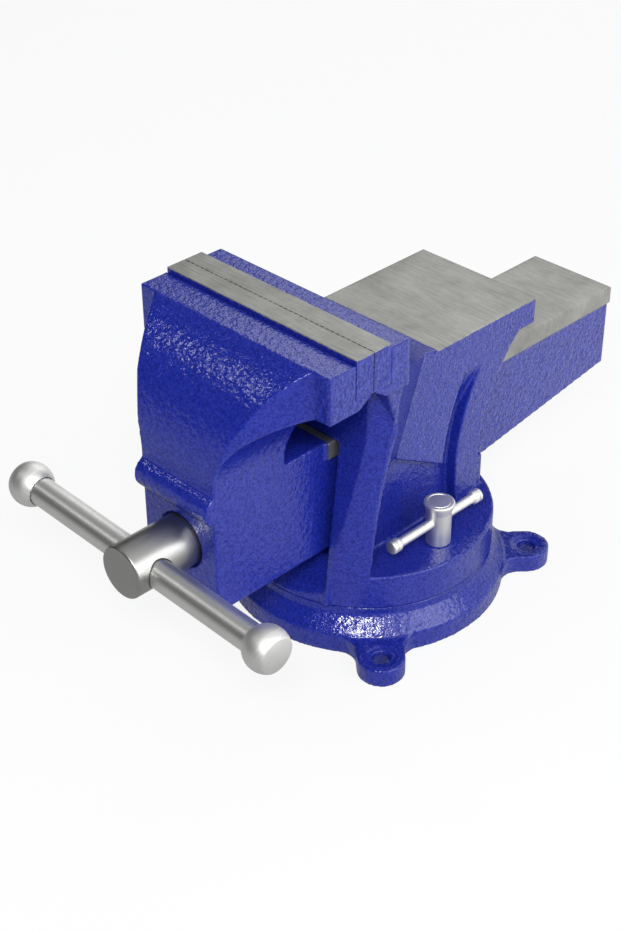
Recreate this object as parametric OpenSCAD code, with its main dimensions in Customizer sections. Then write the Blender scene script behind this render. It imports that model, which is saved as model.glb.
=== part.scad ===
// Swivel bench vise with an anvil, 150 mm jaws and a four-lug swivel base.
// Millimetres. Origin on the bench, at the swivel axis. The jaws face -Y, the slide runs out along +Y.

/* [Jaws] */
// Width of both jaws
jaw_w = 150; // [130:1:170]
// Height of the painted jaw top above the bench
jaw_top = 218; // [212:1:226]
// Height of a jaw's end face
jaw_end_h = 29; // [26:1:32]
// Distance of the gripping plane ahead of the swivel axis
jaw_ahead = 75; // [73:1:78]
// Gap left between the closed jaw plates
jaw_gap = 0.3; // [0.2:0.1:1]
// Thickness of a jaw plate
plate_t = 13; // [10:0.5:15]
// Height of a jaw plate
plate_h = 25; // [22:1:27]
// How far a plate stands above the painted jaw
plate_proud = 3; // [1:0.5:5]
// Distance between a plate's two screws
plate_screw_span = 90; // [60:1:110]
// Radius of a plate screw's thread
plate_screw_r = 4; // [3:0.5:5]
// How far a plate screw reaches into the casting
plate_screw_bite = 11; // [8:0.5:12]

/* [Moving jaw] */
// Depth of the painted ledge ahead of the moving plate
ledge_d = 20; // [17:1:24]
// Width of the slide's web and of the front block
block_w = 60; // [58:0.5:62]
// Distance of the front block's face ahead of the gripping plane
block_ahead = 76.5; // [72:0.5:82]
// Height at which the shield's curve turns upright
shield_z = 150; // [146:1:158]
// Radius of the fillet under the moving jaw's wings
wing_fillet_r = 42; // [34:1:43]
// Height of the bead above the screw
bead_z = 133; // [130:1:136]
// Radius of the bead
bead_r = 10; // [7:0.5:11]
// How far the bead stands out of the front face
bead_reach = 6.5; // [3:0.5:6.5]
// Height of the slide's underside
slide_bottom = 64; // [62:0.5:67]
// Height of the slide's machined top
slide_top = 139.5; // [138:0.5:143]
// Distance of the slide's rear end behind the swivel axis
slide_rear = 198; // [192:1:205]
// Rise of the slide's underside at its rear end
slide_rise = 18; // [10:1:22]
// Distance behind the swivel axis at which the underside starts to rise
slide_rise_start = 66; // [50:1:90]
// Width of the slide's machined flange
flange_w = 64; // [63:0.5:65]
// Depth of the slide's machined flange
flange_h = 12; // [8:0.5:14]
// Thickness of the slide's side walls
slide_wall = 9; // [7.5:0.25:9.5]
// Thickness of the slide's roof
slide_roof = 12; // [9:0.5:14]
// Width of the flat strip at each end of the jaw's front
end_strip = 12; // [8:0.5:16]
// Share of the slant at which its two faces meet
slant_turn = 0.73; // [0.6:0.01:0.85]
// Thickness of the wall that carries the screw
front_wall = 23; // [20:0.5:26]

/* [Screw and handle] */
// Height of the screw's axis
screw_z = 100; // [98:0.5:102]
// Radius of the screw's thread
screw_r = 12; // [10:0.5:13]
// Radius of the screw's journal in the front wall
journal_r = 13; // [13:0.25:14.5]
// Radius of the screw's head
head_r = 16; // [15:0.5:18]
// Length of the screw's head outside the front block
head_len = 43.5; // [38:0.5:50]
// Depth of the pocket that takes the head's rear end
head_pocket = 4; // [2:0.5:6]
// Distance from the head's front face to the handle
handle_setback = 15.5; // [14:0.5:18]
// Distance of the screw's rear end behind the swivel axis
screw_rear = 188; // [180:1:190]
// Radius of the handle bar
bar_r = 8.6; // [7:0.1:8.7]
// Angle at which the handle stands, left end up
handle_tilt = 2.2; // [-30:0.1:30]
// Radius of the handle hole in the head
bar_hole_r = 9.1; // [9:0.1:10]
// Distance between the centres of the handle's balls
ball_span = 199; // [170:1:240]
// Radius of a ball
ball_r = 13.5; // [11:0.5:15]
// Distance from a ball's centre to its flat end
ball_flat = 8.2; // [6:0.2:10]
// Length of the return spring
spring_len = 20; // [16:0.5:26]
// Radius of the return spring's wire
spring_wire_r = 1.75; // [1.25:0.25:2]
// Turns of the return spring
spring_turns = 4; // [3:1:5]
// Thickness of the washer behind the spring
washer_t = 3; // [2:0.5:4]
// Radius of the split pin
split_pin_r = 2.5; // [2:0.25:3]

/* [Fixed jaw body] */
// Radius of the body's foot
foot_r = 80; // [78:0.5:81]
// Height of the foot's top
foot_top = 51.5; // [49:0.5:54]
// Height of the floor under the slide
floor_z = 40; // [38:0.5:42]
// Distance of the sill's rear side ahead of the swivel axis
sill_rear = 45; // [40:1:50]
// Height of the foot's front edge between the pillars
ramp_z = 30; // [29:0.5:36]
// Extra width of the channel's mouth at each side
mouth_gap = 5; // [3:0.5:7]
// Distance of the mouth's rear side ahead of the swivel axis
mouth_rear = 58; // [54:0.5:62]
// Thickness of the wall beside the slide
body_wall = 8; // [6:0.2:9]
// Depth of the fixed jaw behind its plate
fixed_jaw_d = 15.5; // [13.5:0.5:18]
// Distance ahead of the swivel axis of the pillar's foot
pillar_foot = 74; // [70:1:76]
// Distance ahead of the swivel axis of the pillar's rear side at the foot
pillar_foot_rear = 56; // [52:0.5:60]
// Distance ahead of the swivel axis of the pillar's upright part
pillar_front = 60; // [58:1:62]
// Height at which the pillar's front turns upright
pillar_turn_z = 150; // [140:1:165]
// Half width of the pillar at the foot
pillar_half = 58; // [56:0.5:60]
// Width of the anvil
anvil_w = 92; // [84:1:100]
// Distance of the anvil's front edge behind the swivel axis
anvil_front = 10; // [4:1:16]
// Distance of the anvil's rear edge behind the swivel axis
anvil_rear = 99.5; // [92:0.5:106]
// Height of the anvil's machined top
anvil_top = 175; // [172:0.5:179]
// Thickness of the anvil's rear end
anvil_t = 17; // [13:0.5:20]
// Depth below the jaw's top at which the valley leaves the fixed jaw
valley_drop = 12; // [8:0.5:16]
// Radius of the valley's hollow curve
valley_r = 90; // [70:1:120]
// Distance of the body's waist behind the swivel axis
waist_rear = 52; // [51:0.5:56]
// Height of the waist
waist_z = 80; // [74:1:86]
// Distance of the low heel behind the swivel axis
heel_rear = 65.5; // [62:0.5:68]
// Height of the heel
heel_z = 74; // [70:0.5:78]
// Radius of the hollow curve from the waist up to the anvil
waist_r = 108; // [100:1:118]
// Width of the rib that follows that curve
rib_w = 21.5; // [16:0.5:26]
// Height at which the body's sides start to widen under the anvil
blend_z = 122; // [112:1:130]
// Height at which they reach the anvil's width
blend_top_z = 150; // [145:1:156]
// Height of the gussets' lower end
gusset_z = 95; // [90:1:105]
// Half width of the gussets' lower end
gusset_half = 58; // [54:0.5:59]
// Height of the web's lower edge at the pillar
web_front_z = 127; // [118:1:134]
// Height of the web's lower edge at the rib
web_rear_z = 90; // [84:1:98]
// Width of the groove between the web and the rib
rib_groove_w = 12; // [8:0.5:14]
// Height of the bracket under each end of the fixed jaw
bracket_h = 24; // [18:1:30]

/* [Screw nut] */
// Distance of the screw nut's front face behind the swivel axis
nut_front = 17; // [16.5:0.5:18]
// Length of the screw nut
nut_len = 34; // [30:0.5:36]
// Half width of the screw nut's post
nut_half = 18.5; // [17:0.25:18.5]
// Thickness of the screw nut's foot
nut_foot_t = 8; // [7:0.5:9]
// Wall of the screw nut above its thread
nut_wall = 10; // [7:0.5:12]
// Radius of the nut bolts' thread
nut_bolt_r = 3; // [2.5:0.25:3.5]

/* [Swivel base] */
// Radius of the base's flange
base_r = 88; // [86:0.5:92]
// Thickness of the flange
base_flange_h = 13; // [11:0.5:15]
// Height of the base's bearing face
base_h = 28; // [27:0.5:30]
// Radius of the bearing face
base_top_r = 79; // [77:0.5:82]
// Height of the drum's upright wall above its slope
base_wall_h = 5; // [3:0.5:7]
// Angle that the base is turned under the body
base_turn = 4; // [-10:1:10]
// Diameter of the bench bolt circle
lug_pcd = 208; // [204:1:216]
// Radius of a lug's end
lug_r = 14.5; // [13:0.5:17]
// Thickness of a lug
lug_h = 12; // [10:0.5:13]
// Radius of the fillet beside a lug
lug_fillet_r = 14; // [8:1:18]
// Radius of a bench bolt hole
bench_hole_r = 5.5; // [4.5:0.25:6.5]
// Radius of the spot face round a bench bolt hole
spot_r = 9.5; // [8.5:0.25:11]
// Depth of the spot face
spot_d = 1; // [0.5:0.25:2]

/* [Swivel pivot and locks] */
// Radius of the pivot bolt
pivot_r = 8; // [6:0.5:9]
// Distance of a lock bolt from the swivel axis
lock_ring_r = 60.5; // [59:0.5:62]
// Radius of a lock bolt's thread
lock_shank_r = 5; // [4:0.5:6]
// Radius of a lock bolt's head
lock_head_r = 7.75; // [7:0.25:9]
// Radius of a lock bolt's cap
lock_cap_r = 9.5; // [9:0.25:11]
// Height of the flare at the top of a lock bolt's head
lock_cap_h = 7; // [5:0.5:9]
// Height of a lock bolt's head above the foot
lock_head_h = 29.5; // [25:0.5:34]
// Height of the lock bar above the foot
lock_bar_up = 16.5; // [12:0.5:19]
// Radius of a lock bar
lock_bar_r = 3; // [2:0.25:3.5]
// Length of a lock bar
lock_bar_len = 79; // [60:1:80]
// Distance by which the right lock bar stands forward in its bolt
lock_bar_ahead = 3; // [0:0.5:4]
// Distance by which the left lock bar stands back in its bolt
lock_bar_back = 15; // [10:0.5:17]
// Radius of a lock bar's swaged ends
lock_knob_r = 4.3; // [4:0.1:4.7]
// Length of a lock bar's swaged ends
lock_knob_len = 8; // [7:0.5:13]
// Half width of the slot in the base
slot_half = 6; // [6:0.25:7]
// Half width of the groove under the slot
groove_half = 12.5; // [11:0.5:13]
// Height of the groove's floor
groove_floor = 9; // [7:0.5:10]
// Height of the groove's roof
groove_roof = 20; // [18:0.5:21]
// Angle that a lock shoe covers
shoe_angle = 24; // [16:1:36]

/* [Clearances] */
// Running clearance of bolts, journals and bars in their bores
fit_gap = 0.05; // [0.03:0.01:0.09]
// Sliding clearance of the slide in the body
slide_gap = 0.4; // [0.3:0.05:0.5]
// Clearance of faces that turn or rest on each other
face_gap = 0.2; // [0.1:0.05:0.3]
// Clearance of loose pieces in their pockets
loose_gap = 0.5; // [0.4:0.1:0.8]

/* [Hidden] */
$fn = 96;
EPS = 0.01;
FAR = 600;
PAINT = [0.20, 0.20, 0.62];
MACHINED = [0.66, 0.66, 0.65];
STEEL = [0.76, 0.76, 0.77];
DARK_STEEL = [0.35, 0.35, 0.36];
CAST = [0.42, 0.42, 0.43];

// Gripping plane, plate seats and jaw faces along Y
grip_y = -jaw_ahead;
move_face = grip_y - jaw_gap / 2;
fixed_face = grip_y + jaw_gap / 2;
move_seat = move_face - plate_t;
fixed_seat = fixed_face + plate_t;
jaw_bottom = jaw_top - jaw_end_h;
plate_top = jaw_top + plate_proud;
plate_bottom = plate_top - plate_h;
plate_mid = (plate_top + plate_bottom) / 2;
plate_edge_gap = 0.05;
lip_chamfer = 10;
csk_r = 2 * plate_screw_r;

// Moving jaw
ledge_y = move_seat - ledge_d;
front_y = grip_y - block_ahead;
shield_dy = ledge_y - front_y;
shield_dz = jaw_top - shield_z;
shield_r = (shield_dy * shield_dy + shield_dz * shield_dz) / (2 * shield_dy);
neck_ahead = 23;
neck_draft = 1;
neck_root_h = 6;
flange_behind = 9;
neck_rear = grip_y - neck_ahead;
neck_foot_rear = neck_rear + neck_draft;
flange_front = grip_y + flange_behind;
cavity_half = block_w / 2 - slide_wall;
cavity_front = front_y + front_wall;

// Screw and handle
head_front = front_y - head_len;
handle_y = head_front + handle_setback;
bar_z = screw_z - (bar_hole_r - bar_r - 6 * fit_gap);
bar_end = ball_span / 2 + ball_flat - 3;
head_seat = front_y + head_pocket - face_gap;
head_pocket_r = head_r + 1.2;
head_chamfer = 1.2;
spring_mean_r = screw_r + 3 + spring_wire_r;
spring_start = cavity_front + face_gap;
spring_end = spring_start + spring_len;
washer_y = spring_end + face_gap;
washer_r = spring_mean_r + spring_wire_r + 1.2;
split_pin_eye_r = 1.4 * split_pin_r;
split_pin_y = washer_y + washer_t + split_pin_eye_r + face_gap;
split_pin_len = 2 * (washer_r - split_pin_eye_r);

// Body
foot_z = base_h + face_gap;
jaw_rear = fixed_seat + fixed_jaw_d;
channel_half = block_w / 2 + slide_gap;
core_half = channel_half + body_wall;
channel_top = slide_top + slide_gap;
flange_slot_half = flange_w / 2 + slide_gap;
flange_slot_bottom = slide_top - flange_h - slide_gap;
anvil_under = anvil_top - anvil_t;
valley_w = anvil_front - jaw_rear;
valley_z = jaw_top - valley_drop;
valley_rise = valley_z - anvil_top;
valley_chord = sqrt(valley_w * valley_w + valley_rise * valley_rise);
valley_lift = sqrt(valley_r * valley_r - valley_chord * valley_chord / 4) / valley_chord;
valley_at = [
    jaw_rear + valley_w / 2 + valley_lift * valley_rise,
    anvil_top + valley_rise / 2 + valley_lift * valley_w
];
waist_y = waist_rear + waist_r;
gusset_inset = 0.5;
gusset_top_half = jaw_w / 2 - gusset_inset;
gusset_t = 1;
gusset_front_y = gusset_t - pillar_foot_rear;
gusset_slant = (anvil_front - jaw_rear) / (gusset_top_half - anvil_w / 2);
gusset_rear_y = gusset_front_y + gusset_slant * (gusset_half - anvil_w / 2);
web_front_y = -0.8 * pillar_foot_rear;
web_rear_y = 0.4 * waist_rear;
web_slope = (web_rear_z - web_front_z) / (web_rear_y - web_front_y);
bracket_z = jaw_bottom - bracket_h;
bracket_share = (bracket_z - gusset_z) / (valley_z - gusset_z);
bracket_top_share = (jaw_bottom - gusset_z) / (valley_z - gusset_z);
bracket_foot_half = gusset_half + bracket_share * (gusset_top_half - gusset_half) - gusset_inset;
bracket_top_half = gusset_half + bracket_top_share * (gusset_top_half - gusset_half) - gusset_inset;
bracket_foot_y = gusset_front_y + bracket_share * (jaw_rear - gusset_t - gusset_front_y);
pillar_flare_dz = jaw_bottom - foot_top;
pillar_flare_dx = jaw_w / 2 - pillar_half;
pillar_flare_r = (pillar_flare_dx * pillar_flare_dx + pillar_flare_dz * pillar_flare_dz) / (2 * pillar_flare_dx);
pillar_cone_top_r = 1.04 * foot_r;

// Screw nut and its bolts
nut_rear = nut_front + nut_len;
nut_top = screw_z + screw_r + nut_wall;
nut_foot_half = channel_half - 2;
nut_foot_top = floor_z + nut_foot_t;
nut_bolt_head_r = 1.67 * nut_bolt_r;
nut_bolt_head_h = 2 * nut_bolt_r;
nut_bolt_x = nut_half + nut_bolt_head_r + 1;
nut_bolt_inset = 8;
nut_bolt_end = foot_z + 1;

// Pivot bolt, washer and nut
pivot_washer_r = 1.875 * pivot_r;
pivot_washer_t = 3;
pivot_hex_r = 1.73 * pivot_r;
pivot_nut_h = 0.8 * 2 * pivot_r;
pivot_head_h = 0.62 * 2 * pivot_r;
pivot_recess_r = 1.58 * pivot_hex_r;
pivot_recess_h = 1.4 * pivot_head_h;
pivot_washer_z = floor_z + face_gap;
pivot_nut_z = pivot_washer_z + pivot_washer_t;
pivot_bolt_top = pivot_nut_z + pivot_nut_h + 2;

// Locks
lock_seat = foot_top + face_gap;
lock_top = foot_top + lock_head_h;
lock_bar_z = foot_top + lock_bar_up;
lock_end = groove_floor + 2;
shoe_gap = loose_gap;
shoe_neck_half = slot_half - shoe_gap;
shoe_half = groove_half - shoe_gap;
shoe_bottom = groove_floor + shoe_gap;
shoe_shelf = groove_roof - shoe_gap;
shoe_top = base_h - 1;
entry_angle = shoe_angle + 8;

// Base
base_rim = 14;
base_relief = 3;

// Shared shapes

// Extrudes a (Y, Z) profile across X
module across(width) {
    rotate([90, 0, 90]) linear_extrude(width, center = true) children();
}

// Extrudes an (X, Z) outline along Y, from y0 to y1
module along(y0, y1) {
    translate([0, y1, 0]) rotate([90, 0, 0]) linear_extrude(y1 - y0) children();
}

// A round rod along Y
module rod_y(r, y0, y1) {
    translate([0, y1, 0]) rotate([90, 0, 0]) cylinder(r = r, h = y1 - y0);
}

// A 2D rectangle given by its corners
module span(x0, y0, x1, y1) {
    translate([x0, y0]) square([x1 - x0, y1 - y0]);
}

// Copies its children to the other side of the vise
module both_sides() {
    children();
    mirror([1, 0, 0]) children();
}

// Swivel base

module lug_plan() {
    reach = lug_pcd / 2;
    bite = 0.3;
    rim = base_r - bite;
    fillet_y = lug_r + lug_fillet_r - bite;
    fillet_x = sqrt(pow(rim + lug_fillet_r, 2) - fillet_y * fillet_y);
    touch = rim / (rim + lug_fillet_r);
    translate([reach, 0]) circle(lug_r);
    span(0, -lug_r, reach, lug_r);
    for (side = [-1, 1]) {
        difference() {
            polygon([
                [0, 0],
                [fillet_x * touch, side * fillet_y * touch],
                [fillet_x, side * fillet_y],
                [fillet_x, 0]
            ]);
            translate([fillet_x, side * fillet_y]) circle(lug_fillet_r);
        }
    }
}

module base_drum() {
    rotate_extrude() {
        polygon([
            [0, 0], [base_r, 0], [base_r, base_flange_h], [base_top_r, base_h - base_wall_h],
            [base_top_r, base_h], [0, base_h]
        ]);
    }
}

// T-shaped groove for the lock shoes, with a wide mouth at the rear to let them in
module lock_groove() {
    rotate_extrude() {
        span(lock_ring_r - slot_half, groove_floor, lock_ring_r + slot_half, base_h + 1);
        span(lock_ring_r - groove_half, groove_floor, lock_ring_r + groove_half, groove_roof);
    }
    mouth_half = groove_half - shoe_gap / 2;
    rotate([0, 0, 90 - entry_angle / 2]) rotate_extrude(angle = entry_angle) {
        span(lock_ring_r - mouth_half, groove_roof - 1, lock_ring_r + mouth_half, base_h + 1);
    }
}

module swivel_base() {
    color(PAINT) difference() {
        union() {
            base_drum();
            for (i = [0 : 3]) {
                rotate([0, 0, base_turn + 45 + 90 * i]) linear_extrude(lug_h) lug_plan();
            }
        }
        lock_groove();
        translate([0, 0, -1]) cylinder(r = pivot_r + fit_gap, h = base_h + 2);
        translate([0, 0, -1]) cylinder(r = pivot_recess_r, h = pivot_recess_h + 1);
        translate([0, 0, -1]) cylinder(r = base_r - base_rim, h = base_relief + 1);
        for (i = [0 : 3]) {
            rotate([0, 0, base_turn + 45 + 90 * i]) translate([lug_pcd / 2, 0, 0]) {
                translate([0, 0, -1]) cylinder(r = bench_hole_r, h = lug_h + 2);
                translate([0, 0, lug_h - spot_d]) cylinder(r = spot_r, h = spot_d + 1);
            }
        }
    }
}

// Fixed jaw body

// Side silhouette of the body, before the valley is cut
module body_profile() {
    difference() {
        polygon([
            [-pillar_foot, foot_z], [-pillar_front, pillar_turn_z], [-pillar_front, jaw_top],
            [jaw_rear, jaw_top], [jaw_rear, valley_z], [anvil_front, anvil_top],
            [anvil_rear, anvil_top], [anvil_rear, waist_z], [waist_rear, waist_z], [waist_rear, foot_z]
        ]);
        intersection() {
            translate([waist_y, waist_z]) circle(waist_r);
            span(0, waist_z - EPS, FAR, anvil_under);
        }
    }
}

// Front outline of the pillar: it flares from the foot to the full jaw
module pillar_outline() {
    half = jaw_w / 2;
    difference() {
        span(-half, foot_z, half, jaw_top);
        for (side = [-1, 1]) {
            translate([side * (pillar_half + pillar_flare_r), foot_top]) circle(pillar_flare_r);
            translate([side * (pillar_half + half), foot_top / 2]) square([2 * half, foot_top], center = true);
        }
    }
}

module pillar() {
    intersection() {
        across(jaw_w) intersection() {
            body_profile();
            polygon([
                [-FAR, foot_z], [-pillar_foot_rear, foot_z], [-pillar_foot_rear, foot_top], [jaw_rear, pillar_turn_z],
                [jaw_rear, jaw_bottom + EPS], [-FAR, jaw_bottom + EPS]
            ]);
        }
        along(-FAR / 2, FAR / 2) pillar_outline();
        translate([0, 0, foot_z]) {
            cylinder(r1 = foot_r, r2 = pillar_cone_top_r, h = jaw_bottom - foot_z + 1);
        }
    }
}

// The anvil's block, narrowing downwards to the body's core
module anvil_block() {
    half = anvil_w / 2;
    intersection() {
        across(anvil_w) body_profile();
        along(jaw_rear, anvil_rear) polygon([
            [-core_half, blend_z], [core_half, blend_z], [half, blend_top_z], [half, valley_z],
            [-half, valley_z], [-half, blend_top_z]
        ]);
    }
}

// Rib down the body's rear edge, from the anvil to the foot
module rear_rib() {
    across(anvil_w) intersection() {
        body_profile();
        translate([waist_y, waist_z]) circle(waist_r + rib_w);
        span(0, foot_z, FAR, anvil_top);
    }
}

// Side silhouette above the web's lower edge, which falls towards the rear
module above_web_edge() {
    polygon([
        [-FAR, web_front_z + web_slope * (-FAR - web_front_y)],
        [FAR, web_front_z + web_slope * (FAR - web_front_y)],
        [FAR, 2 * FAR], [-FAR, 2 * FAR]
    ]);
}

// Flat web under the anvil, between the pillar and the groove beside the rib
module web() {
    across(anvil_w) difference() {
        intersection() {
            body_profile();
            above_web_edge();
            span(gusset_front_y, foot_top, FAR, blend_top_z);
        }
        translate([waist_y, waist_z]) circle(waist_r + rib_w + rib_groove_w);
    }
}

// Gusset from a jaw's end back to the anvil's side
module gusset_block() {
    hull() {
        translate([0, 0, valley_z - gusset_t]) linear_extrude(gusset_t) polygon([
            [0, jaw_rear - gusset_t], [gusset_top_half, jaw_rear - gusset_t],
            [anvil_w / 2, anvil_front - gusset_t], [0, anvil_front - gusset_t]
        ]);
        translate([0, 0, gusset_z]) linear_extrude(gusset_t) polygon([
            [0, gusset_front_y], [gusset_half, gusset_front_y],
            [anvil_w / 2, gusset_rear_y], [0, gusset_rear_y]
        ]);
    }
}

module gusset() {
    intersection() {
        gusset_block();
        across(2 * jaw_w) above_web_edge();
    }
}

// Bracket under a jaw's end, running down into the gusset
module bracket() {
    hull() {
        translate([0, 0, jaw_bottom]) linear_extrude(gusset_t) {
            span(0, fixed_seat + gusset_t, bracket_top_half, jaw_rear - gusset_t);
        }
        translate([0, 0, bracket_z]) linear_extrude(gusset_t) {
            span(0, bracket_foot_y, bracket_foot_half, bracket_foot_y + gusset_t);
        }
    }
}

// Jaw section (Y, Z) with its lip under the plate; towards is the side of the plate
module jaw_section(face, seat, back, towards) {
    polygon([
        [seat, jaw_top], [back, jaw_top], [back, jaw_bottom],
        [face - towards * lip_chamfer, jaw_bottom], [face, plate_bottom - plate_edge_gap],
        [seat, plate_bottom - plate_edge_gap]
    ]);
}

module body_core() {
    across(2 * core_half) body_profile();
    across(2 * core_half) span(0, foot_z, heel_rear, heel_z);
    translate([0, 0, foot_z]) cylinder(r = foot_r, h = foot_top - foot_z);
}

// Passage for the slide, with its flange slot, its wider mouth and the ramp below it
module slide_channel() {
    across(2 * channel_half) span(-sill_rear, floor_z, FAR / 2, channel_top);
    across(2 * channel_half) span(-FAR / 2, foot_top, FAR / 2, channel_top);
    across(2 * (channel_half + mouth_gap)) polygon([
        [-mouth_rear, foot_top], [-foot_r, ramp_z], [-FAR / 2, ramp_z],
        [-FAR / 2, channel_top], [-mouth_rear, channel_top]
    ]);
    across(2 * flange_slot_half) span(-FAR / 2, flange_slot_bottom, FAR / 2, channel_top);
}

// Valley between the fixed jaw and the anvil
module valley() {
    across(2 * jaw_w) intersection() {
        translate(valley_at) circle(valley_r);
        span(jaw_rear, 0, anvil_front, FAR);
    }
}

module plate_screw_holes(seat, towards) {
    depth = plate_screw_bite + 1;
    for (side = [-1, 1]) {
        translate([side * plate_screw_span / 2, 0, plate_mid]) {
            rod_y(plate_screw_r + fit_gap, min(seat, seat - towards * depth), max(seat, seat - towards * depth));
        }
    }
}

module nut_bolt_places() {
    for (x = [-nut_bolt_x, nut_bolt_x], y = [nut_front + nut_bolt_inset, nut_rear - nut_bolt_inset]) {
        translate([x, y, 0]) children();
    }
}

module fixed_jaw_body() {
    color(PAINT) difference() {
        union() {
            body_core();
            pillar();
            anvil_block();
            rear_rib();
            web();
            both_sides() {
                gusset();
                bracket();
            }
            across(jaw_w) jaw_section(fixed_face, fixed_seat, jaw_rear, -1);
        }
        slide_channel();
        valley();
        across(jaw_w + 2) span(-FAR, plate_bottom - plate_edge_gap, fixed_seat, plate_top);
        translate([0, 0, foot_z - 1]) cylinder(r = pivot_r + fit_gap, h = floor_z);
        both_sides() {
            translate([lock_ring_r, 0, foot_z - 1]) cylinder(r = lock_shank_r + fit_gap, h = foot_top);
        }
        plate_screw_holes(fixed_seat, -1);
        nut_bolt_places() translate([0, 0, nut_bolt_end - 1]) cylinder(r = nut_bolt_r + fit_gap, h = floor_z);
    }
}

// Moving jaw

// Side profile of the jaw's head and front block
module head_profile() {
    difference() {
        union() {
            intersection() {
                translate([front_y + shield_r, shield_z]) circle(shield_r);
                span(front_y - 1, shield_z - EPS, move_seat, jaw_top);
            }
            span(front_y, slide_bottom, neck_foot_rear, shield_z);
        }
        span(neck_rear, slide_top, 0, plate_bottom - plate_edge_gap - lip_chamfer);
    }
    jaw_section(move_face, move_seat, ledge_y, 1);
    polygon([
        [neck_rear - EPS, slide_top + neck_root_h], [neck_rear, slide_top + neck_root_h],
        [move_face - lip_chamfer, jaw_bottom + EPS], [neck_rear - EPS, jaw_bottom + EPS]
    ]);
}

// Front outline of the jaw: its wings spring from the block by wide fillets
module wing_outline() {
    half = jaw_w / 2;
    block = block_w / 2;
    span(-block, slide_bottom, block, jaw_top);
    span(-half, jaw_bottom, half, jaw_top);
    for (side = [-1, 1]) {
        difference() {
            translate([side * (block + wing_fillet_r / 2), jaw_bottom - wing_fillet_r / 2]) {
                square(wing_fillet_r + EPS, center = true);
            }
            translate([side * (block + wing_fillet_r), jaw_bottom - wing_fillet_r]) circle(wing_fillet_r);
        }
    }
}

// Plan of the jaw: flat end strips, then a steep and an even slant forward to the block
module head_plan() {
    half = jaw_w / 2;
    slant = ledge_y - front_y;
    turn = slant * slant_turn;
    right = [
        [half - slant, ledge_y - slant], [half - turn, ledge_y - turn], [half - end_strip, ledge_y],
        [half, ledge_y], [half, 0], [0, 0], [0, ledge_y - slant]
    ];
    polygon(right);
    mirror([1, 0]) polygon(right);
}

module jaw_head() {
    intersection() {
        across(jaw_w) head_profile();
        along(-FAR, FAR) wing_outline();
        linear_extrude(FAR) head_plan();
    }
}

module slide() {
    across(block_w) polygon([
        [neck_foot_rear - 2, slide_bottom], [slide_rise_start, slide_bottom],
        [slide_rear, slide_bottom + slide_rise], [slide_rear, slide_top], [neck_foot_rear - 2, slide_top]
    ]);
    across(flange_w) span(flange_front, slide_top - flange_h, slide_rear, slide_top);
}

module moving_jaw() {
    color(PAINT) difference() {
        union() {
            jaw_head();
            slide();
            across(block_w) translate([front_y + bead_r - bead_reach, bead_z]) circle(bead_r);
        }
        across(2 * cavity_half) span(cavity_front, 0, slide_rear + 1, slide_top - slide_roof);
        across(jaw_w + 2) span(move_seat, plate_bottom - plate_edge_gap, 0, plate_top);
        translate([0, 0, screw_z]) {
            rod_y(journal_r + fit_gap, front_y - bead_r, cavity_front + 1);
            rod_y(head_pocket_r, front_y - bead_r, front_y + head_pocket);
        }
        plate_screw_holes(move_seat, 1);
    }
}

// Jaw plates and their countersunk screws

module jaw_plate(face, seat, towards) {
    cone_y0 = face - towards * csk_r;
    color(MACHINED) difference() {
        across(jaw_w) span(min(face, seat), plate_bottom, max(face, seat), plate_top);
        for (side = [-1, 1]) {
            translate([side * plate_screw_span / 2, 0, plate_mid]) {
                rod_y(plate_screw_r + fit_gap, min(face, seat) - 1, max(face, seat) + 1);
                translate([0, cone_y0, 0]) rotate([-towards * 90, 0, 0]) {
                    cylinder(r1 = 0, r2 = csk_r + 1, h = csk_r + 1);
                }
            }
        }
    }
}

// The screws' heads lie a little under the gripping face
module plate_screws(face, seat, towards) {
    sink = loose_gap;
    head_face = face - towards * sink;
    head_h = csk_r - plate_screw_r - sink;
    far_end = seat - towards * plate_screw_bite;
    key_r = 0.6 * plate_screw_r;
    key_d = 0.6 * head_h;
    color(DARK_STEEL) for (side = [-1, 1]) {
        translate([side * plate_screw_span / 2, 0, plate_mid]) difference() {
            union() {
                rod_y(plate_screw_r, min(head_face, far_end), max(head_face, far_end));
                translate([0, head_face, 0]) rotate([towards * 90, 0, 0]) {
                    cylinder(r1 = csk_r - sink - face_gap, r2 = plate_screw_r, h = head_h);
                }
            }
            translate([0, head_face + towards * EPS, 0]) rotate([towards * 90, 0, 0]) {
                cylinder(r = key_r, h = key_d, $fn = 6);
            }
        }
    }
}

module fixed_jaw_plate() {
    jaw_plate(fixed_face, fixed_seat, -1);
}

module moving_jaw_plate() {
    jaw_plate(move_face, move_seat, 1);
}

module fixed_plate_screws() {
    plate_screws(fixed_face, fixed_seat, -1);
}

module moving_plate_screws() {
    plate_screws(move_face, move_seat, 1);
}

// Main screw, its retaining pieces and the handle

// Turns its children about the screw's axis to the handle's angle
module tilted() {
    translate([0, 0, screw_z]) rotate([0, handle_tilt, 0]) translate([0, 0, -screw_z]) children();
}

module main_screw() {
    color(STEEL) difference() {
        translate([0, 0, screw_z]) {
            rod_y(head_r, head_front + head_chamfer, head_seat);
            translate([0, head_front + head_chamfer, 0]) rotate([90, 0, 0]) {
                cylinder(r1 = head_r, r2 = head_r - head_chamfer, h = head_chamfer);
            }
            rod_y(journal_r, head_seat - 1, cavity_front);
            rod_y(screw_r, cavity_front - 1, screw_rear);
        }
        tilted() translate([-FAR / 2, handle_y, screw_z]) rotate([0, 90, 0]) cylinder(r = bar_hole_r, h = FAR);
        translate([0, split_pin_y, screw_z - FAR / 2]) cylinder(r = split_pin_r + fit_gap, h = FAR);
    }
}

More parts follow.
